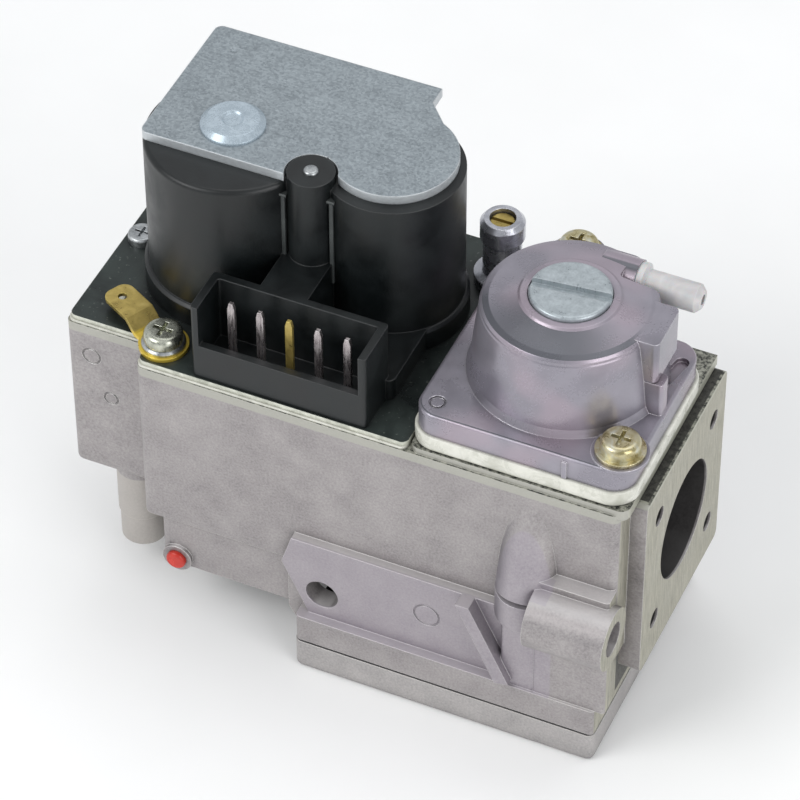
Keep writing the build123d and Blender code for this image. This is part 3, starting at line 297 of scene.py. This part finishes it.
def plain_casting():
    """The cast bottom cover: the same metal, a little paler than the body."""
    m, colour, rough = casting("cast_fittings", rgb(146, 143, 143), rgb(196, 192, 190), rgb(240, 238, 232))
    return m.done(colour, rough)


def turned_aluminium():
    """The test nipple: turned aluminium, brighter and smoother than the castings."""
    m, colour, rough = casting("turned_aluminium", rgb(176, 177, 184), rgb(206, 207, 214), rgb(246, 246, 248),
                               metallic=0.8, rough=(0.2, 0.3), patch=3.0, pitted=0.0, relief=0.008,
                               grainy=0.15)
    return m.done(colour, rough)


def regulator_metal():
    """The regulator's smoother casting, with a faint violet cast."""
    m, colour, rough = casting("grey_casting", rgb(132, 129, 138), rgb(164, 160, 170), rgb(236, 233, 238),
                               metallic=0.55, rough=(0.24, 0.36), patch=12.0, pitted=0.0, relief=0.01,
                               grainy=0.18)
    blush = m.span(m.noise(11, 1, 0.4), 0.42, 0.68)
    colour = m.mix(m.math("MULTIPLY", blush, 0.4), colour, rgb(182, 163, 174))
    # painted shade on the nearly flat top where it tilts forward
    nearly_flat, forward = m.span(m.facing("Z"), 0.85, 0.95), m.span(m.facing("Y"), -0.14, -0.02, 1.0, 0.0)
    shade = m.math("MULTIPLY", nearly_flat, forward)
    colour = m.mix(m.math("MULTIPLY", shade, 0.95), colour, rgb(84, 86, 92))
    return m.done(colour, rough, Coat_Weight=0.12)


def deck_coat():
    """Dark coated steel plate with bare cut edges, their rounded rims brightened partly as wear and partly as
    painted highlight, specks, faint wiping marks and painted shade in crevices.
    """
    m = Finish("dark_plate")
    wear_and_highlight = m.edges(0.3, 0.05, 0.3)
    clouds = m.noise(9, 4, 0.6, warp=0.6)
    colour = m.ramp(clouds, [(0.35, rgb(34, 40, 39)), (0.65, rgb(54, 63, 60))])
    specks = m.span(m.noise(0.7, 2, 0.5), 0.66, 0.74)
    colour = m.mix(m.math("MULTIPLY", specks, 0.45), colour, rgb(126, 132, 126))
    # painted shade in crevices
    colour = m.mix(m.math("MULTIPLY", m.crevice_shade(4.0), 0.7), colour, rgb(12, 14, 14))
    # bare metal on the cut sides, with the rounded edges brightened partly as wear and partly as painted
    # highlight
    cut = m.span(m.facing("Z"), 0.55, 0.85, 1.0, 0.0)
    cut = m.math("MAXIMUM", cut, m.math("MULTIPLY", wear_and_highlight, 0.8))
    edge_metal = m.ramp(m.noise(1.5, 3), [(0.3, rgb(176, 178, 165)), (0.7, rgb(220, 221, 208))])
    colour = m.mix(cut, colour, edge_metal)
    m.bump(m.noise(0.5, 2), 0.02, 0.4)
    return m.done(colour, m.span(clouds, 0.3, 0.7, 0.26, 0.42), Metallic=0.25)


def galvanised():
    """Zinc-coated sheet: fine speckled crystals, faint rolling lines, bright cut sides, and bright rounded
    edges that are partly wear and partly painted highlight.
    """
    m = Finish("galvanised_steel", metallic=0.45)
    wear_and_highlight = m.edges(0.4)
    speckle = m.cells(0.42)
    clouds = m.noise(5, 3, 0.5)
    rolled = m.noise(0.6, 3, 0.6, along=(10, 1, 1))
    tone = m.math("ADD", m.math("MULTIPLY", speckle, 0.34), m.math("MULTIPLY", clouds, 0.28))
    tone = m.math("ADD", tone, m.math("MULTIPLY", rolled, 0.38))
    colour = m.ramp(tone, [(0.2, rgb(118, 126, 131)), (0.8, rgb(166, 175, 180))])
    # rounded edges brightened: partly wear, partly painted highlight
    colour = m.mix(m.math("MULTIPLY", wear_and_highlight, 0.8), colour, rgb(232, 236, 238))
    side = m.span(m.math("ABSOLUTE", m.facing("Z")), 0.3, 0.8, 0.65, 0.0)
    colour = m.mix(side, colour, rgb(214, 218, 220))
    m.bump(tone, 0.04, 0.4)
    return m.done(colour, m.span(tone, 0.3, 0.7, 0.36, 0.52))


def turned_steel(name, dark, light, rough=0.26, metallic=0.95):
    """Bright turned or stamped metal, with soft clouds and fine drawn lines."""
    m = Finish(name, metallic=metallic)
    wear_and_highlight = m.edges(0.25)
    clouds = m.noise(1.6, 4, 0.65)
    lines = m.noise(0.4, 3, 0.6, along=(1, 1, 8))
    tone = m.math("ADD", m.math("MULTIPLY", clouds, 0.65), m.math("MULTIPLY", lines, 0.35))
    colour = m.ramp(tone, [(0.3, dark), (0.7, light)])
    # rounded edges brightened: partly wear, partly painted highlight
    colour = m.mix(m.math("MULTIPLY", wear_and_highlight, 0.6), colour, light)
    m.bump(lines, 0.02, 0.3)
    return m.done(colour, m.span(tone, 0.3, 0.7, rough, rough + 0.16))


def zinc_yellow():
    """Yellow-passivated zinc, its tint drifting between straw, olive and pale silver."""
    m = Finish("yellow_zinc", metallic=0.9)
    wear_and_highlight = m.edges(0.25)
    drift = m.noise(2.2, 4, 0.6, warp=0.8)
    olive, straw, silver = rgb(150, 138, 92), rgb(196, 186, 148), rgb(205, 205, 190)
    colour = m.ramp(drift, [(0.3, olive), (0.5, straw), (0.68, silver)])
    # rounded edges brightened: partly wear, partly painted highlight
    colour = m.mix(m.math("MULTIPLY", wear_and_highlight, 0.55), colour, rgb(238, 232, 205))
    m.bump(m.noise(0.4, 2), 0.02, 0.3)
    return m.done(colour, m.span(drift, 0.3, 0.7, 0.22, 0.40))


def brass():
    """Stamped brass, with tarnish clouds and drawn lines."""
    m = Finish("brass", metallic=0.7)
    wear_and_highlight = m.edges(0.2)
    tarnish = m.noise(2.5, 5, 0.65, warp=0.5)
    dull, clean, bright = rgb(158, 138, 76), rgb(190, 168, 96), rgb(206, 186, 118)
    colour = m.ramp(tarnish, [(0.3, dull), (0.55, clean), (0.75, bright)])
    seat = m.span(m.axis("Z"), TAB_SEAT_Z - 0.4, TAB_SEAT_Z, 1.0, 0.0)
    colour = m.mix(m.math("MULTIPLY", seat, 0.8), colour, rgb(236, 204, 76))
    # rounded edges brightened: partly wear, partly painted highlight
    colour = m.mix(m.math("MULTIPLY", wear_and_highlight, 0.7), colour, rgb(240, 224, 120))
    m.bump(m.noise(0.4, 3, 0.6, along=(8, 1, 1)), 0.02, 0.3)
    return m.done(colour, m.span(tarnish, 0.3, 0.7, 0.26, 0.42))


def tinned():
    """Tin-plated blades: bright and dull streaks down their length."""
    m = Finish("tinned_brass", metallic=0.9)
    wear_and_highlight = m.edges(0.15)
    streaks = m.noise(0.5, 4, 0.6, along=(1, 1, 6))
    colour = m.ramp(streaks, [(0.3, rgb(132, 122, 124)), (0.7, rgb(222, 214, 214))])
    # rounded edges brightened: partly wear, partly painted highlight
    colour = m.mix(m.math("MULTIPLY", wear_and_highlight, 0.6), colour, rgb(245, 242, 240))
    m.bump(streaks, 0.02, 0.3)
    return m.done(colour, m.span(streaks, 0.3, 0.7, 0.2, 0.36))


def wire():
    """Enamelled copper wire, wound in close turns up the coil."""
    m = Finish("copper_wire", metallic=0.85, roughness=0.3)
    turns = m.math("SINE", m.math("MULTIPLY", m.axis("Z"), 2 * math.pi / WIRE_PITCH))
    round_turns = m.span(turns, -1.0, 1.0)
    shade = m.noise(3.0, 3)
    colour = m.ramp(shade, [(0.3, rgb(150, 74, 38)), (0.7, rgb(202, 118, 66))])
    # painted shade in the grooves between the turns
    colour = m.mix(m.math("MULTIPLY", m.math("SUBTRACT", 1.0, round_turns), 0.6), colour, rgb(70, 30, 14))
    m.bump(round_turns, 0.12, 0.8)
    return m.done(colour, Coat_Weight=0.5)


def moulded(name, dark, light, rough=(0.34, 0.5), grain=0.35, **sockets):
    """Moulded plastic: fine eroded texture, faint flow clouds, lightly rounded edges brightened partly as
    wear and partly as painted highlight, and painted shade in crevices.
    """
    m = Finish(name)
    wear_and_highlight = m.edges(0.35)
    flow = m.noise(8, 4, 0.6, warp=0.5)
    colour = m.ramp(flow, [(0.35, dark), (0.65, light)])
    # rounded edges brightened: partly wear, partly painted highlight
    colour = m.mix(m.math("MULTIPLY", wear_and_highlight, 0.5), colour, [min(1, 1.6 * c + 0.09) for c in light[:3]] + [1])
    # painted shade in crevices
    colour = m.mix(m.math("MULTIPLY", m.crevice_shade(4.0), 0.5), colour, [0.4 * c for c in dark[:3]] + [1])
    m.bump(m.noise(grain, 3, 0.6), 0.03, 0.5)
    return m.done(colour, m.span(flow, 0.3, 0.7, *rough), **sockets)


def sealing_sheet():
    """Smooth cream gasket sheet, a little stained, with painted shade in the crevices where it is squeezed
    out.
    """
    m = Finish("white_gasket")
    m.edges(0.25)
    stains = m.noise(4, 5, 0.65, warp=0.6)
    colour = m.ramp(stains, [(0.3, rgb(192, 192, 180)), (0.6, rgb(224, 223, 213))])
    # painted shade in crevices
    colour = m.mix(m.math("MULTIPLY", m.crevice_shade(2.0), 0.6), colour, rgb(96, 97, 88))
    m.bump(m.noise(1.2, 3), 0.05, 0.4)
    return m.done(colour, m.span(stains, 0.3, 0.7, 0.22, 0.36), Coat_Weight=0.3)


def rubber():
    """Black nitrile: matt bloom over a fine moulded grain."""
    m = Finish("black_rubber")
    m.edges(0.2)
    bloom = m.noise(3, 4, 0.6)
    colour = m.ramp(bloom, [(0.3, rgb(24, 24, 25)), (0.75, rgb(46, 46, 47))])
    m.bump(m.noise(0.3, 2), 0.03, 0.5)
    return m.done(colour, m.span(bloom, 0.3, 0.7, 0.55, 0.72))


SLOT_FINISH = {
    "cast_aluminium": plain_casting(),
    "grey_casting": regulator_metal(),
    "dark_plate": deck_coat(),
    "galvanised_steel": galvanised(),
    "bright_steel": turned_steel("bright_steel", rgb(128, 132, 134), rgb(206, 209, 210)),
    "stainless_steel": turned_steel("stainless_steel", rgb(122, 124, 124), rgb(188, 190, 190), rough=0.3),
    "yellow_zinc": zinc_yellow(),
    "brass": brass(),
    "tinned_brass": tinned(),
    "copper_wire": wire(),
    "black_plastic": moulded("black_plastic", rgb(10, 14, 15), rgb(21, 26, 27), rough=(0.34, 0.48)),
    "pale_plastic": moulded("pale_plastic", rgb(184, 183, 184), rgb(212, 210, 209),
                            Subsurface_Weight=0.25, Subsurface_Scale=2 * MM),
    "grey_plastic": moulded("grey_plastic", rgb(160, 170, 178), rgb(188, 197, 204), rough=(0.2, 0.34)),
    "red_plastic": moulded("red_plastic", rgb(170, 34, 24), rgb(206, 56, 40), rough=(0.18, 0.3)),
    "white_gasket": sealing_sheet(),
    "black_rubber": rubber(),
}
NODE_FINISH = {
    "valve_body": body_metal(),
    "test_nipple": turned_aluminium(),
    "earth_screw": turned_steel("earth_screw_zinc", rgb(140, 142, 128), rgb(220, 222, 208), rough=0.2),
    "adjuster_cap": turned_steel("adjuster_face", rgb(150, 158, 162), rgb(190, 198, 202), rough=0.26,
                                 metallic=0.6),
    "yoke_cap": turned_steel("rivet_face", rgb(160, 174, 184), rgb(190, 203, 212), rough=0.2, metallic=0.45),
}


def dress(frame):
    """Gives every CAD node the finish of its slot, or its own."""
    slots = {entry["node"]: entry["material_slot"] for entry in frame["record"]["subparts"]}
    for name, node in frame["nodes"].items():
        finish = NODE_FINISH.get(name) or SLOT_FINISH[slots[name]]
        if not node.data.materials:
            node.data.materials.append(finish)
        for index in range(len(node.data.materials)):
            node.data.materials[index] = finish


dress(frame)


# ---------------------------------------------------------------- paler ribs beside the coil post, a painted highlight along its edges
def bar(shape, centre, half):
    """Adds a box with eight corners to a mesh being built."""
    made = bmesh.ops.create_cube(shape, size=2.0)["verts"]
    bmesh.ops.scale(shape, vec=[h * MM for h in half], verts=made)
    bmesh.ops.translate(shape, vec=[c * MM for c in centre], verts=made)


def highlight_rib(name, x, y, low, high):
    """A thin upright rib half sunk in the coil housing, with a wider head; its paler plastic is a painted
    highlight along the post's edge.
    """
    shape = bmesh.new()
    bar(shape, (0, 0, (low + high) / 2), (*RIB_HALF, (high - low) / 2))
    bar(shape, (0, -0.1, high + 0.2), RIB_HEAD_HALF)
    mesh = bpy.data.meshes.new(name)
    shape.to_mesh(mesh)
    shape.free()
    rib = bpy.data.objects.new(name, mesh)
    rib.location = (x * MM, y * MM, 0)
    bpy.context.scene.collection.objects.link(rib)
    soften = rib.modifiers.new("bevel", "BEVEL")
    soften.width = RIB_BEVEL * MM
    soften.segments = 2
    mesh.materials.append(RIB_HIGHLIGHT_FINISH)
    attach(rib, "valve")


# the ribs' paler plastic is a painted highlight along the coil post's edges
RIB_HIGHLIGHT_FINISH = moulded("highlight_rib_plastic", rgb(58, 62, 62), rgb(84, 88, 87), rough=(0.34, 0.5))
highlight_rib("highlight_rib_left", 40.4, -4.7, 38.3, 53.6)
highlight_rib("highlight_rib_right", 50.0, -3.6, 33.5, 54.2)


# ---------------------------------------------------------------- floor, light and camera
def floor():
    """A pale matt floor under the foot."""
    low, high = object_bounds()
    centre = (low + high) / 2
    mesh = bpy.data.meshes.new("floor")
    corners = [(centre.x + dx * FLOOR_REACH, centre.y + dy * FLOOR_REACH, low.z)
               for dx, dy in ((-1, -1), (1, -1), (1, 1), (-1, 1))]
    mesh.from_pydata(corners, [], [(0, 1, 2, 3)])
    made = bpy.data.objects.new("floor", mesh)
    bpy.context.scene.collection.objects.link(made)
    m = Finish("pale_floor", roughness=0.75)
    colour = m.ramp(m.noise(60, 3), [(0.3, rgb(246, 246, 245)), (0.7, rgb(250, 250, 249))])
    mesh.materials.append(m.done(colour))
    made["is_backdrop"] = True


def softbox(name, place, aim, size, watts):
    """A rectangular light at a place, turned towards the aim."""
    light = bpy.data.lights.new(name, "AREA")
    light.shape = "RECTANGLE"
    light.size, light.size_y = size
    light.energy = watts
    made = bpy.data.objects.new(name, light)
    made.location = place
    made.rotation_euler = (Vector(place) - aim).to_track_quat("Z", "Y").to_euler()
    bpy.context.scene.collection.objects.link(made)


def studio():
    """A key light from the front left, a fill from the right, a weak top light and a pale sky."""
    low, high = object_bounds()
    aim = (low + high) / 2
    softbox("key", (-0.55, -0.75, 0.85), aim, (0.7, 0.7), 6.5)
    softbox("fill", (0.95, -0.45, 0.45), aim, (0.6, 0.8), 4.0)
    softbox("top", (0.1, 0.35, 1.0), aim, (0.9, 0.5), 2.0)
    world = bpy.data.worlds.new("studio")
    world.use_nodes = True
    world.node_tree.nodes["Background"].inputs["Color"].default_value = (0.95, 0.97, 1.0, 1.0)
    world.node_tree.nodes["Background"].inputs["Strength"].default_value = 0.64
    bpy.context.scene.world = world
    bpy.context.scene.view_settings.view_transform = "Standard"


def camera():
    """The view from the front right and above; roll is the small tilt of the picture."""
    azimuth, elevation, roll = math.radians(24.21), math.radians(44.52), math.radians(-0.2)
    lens = bpy.data.cameras.new("camera")
    lens.sensor_width = 36.0
    lens.lens = CAMERA_LENS
    made = bpy.data.objects.new("camera", lens)
    turn = (Matrix.Rotation(azimuth, 4, "Z") @ Matrix.Rotation(math.pi / 2 - elevation, 4, "X")
            @ Matrix.Rotation(roll, 4, "Z"))
    made.matrix_world = Matrix.Translation(CAMERA_PLACE) @ turn
    bpy.context.scene.collection.objects.link(made)
    bpy.context.scene.camera = made


floor()
studio()
camera()
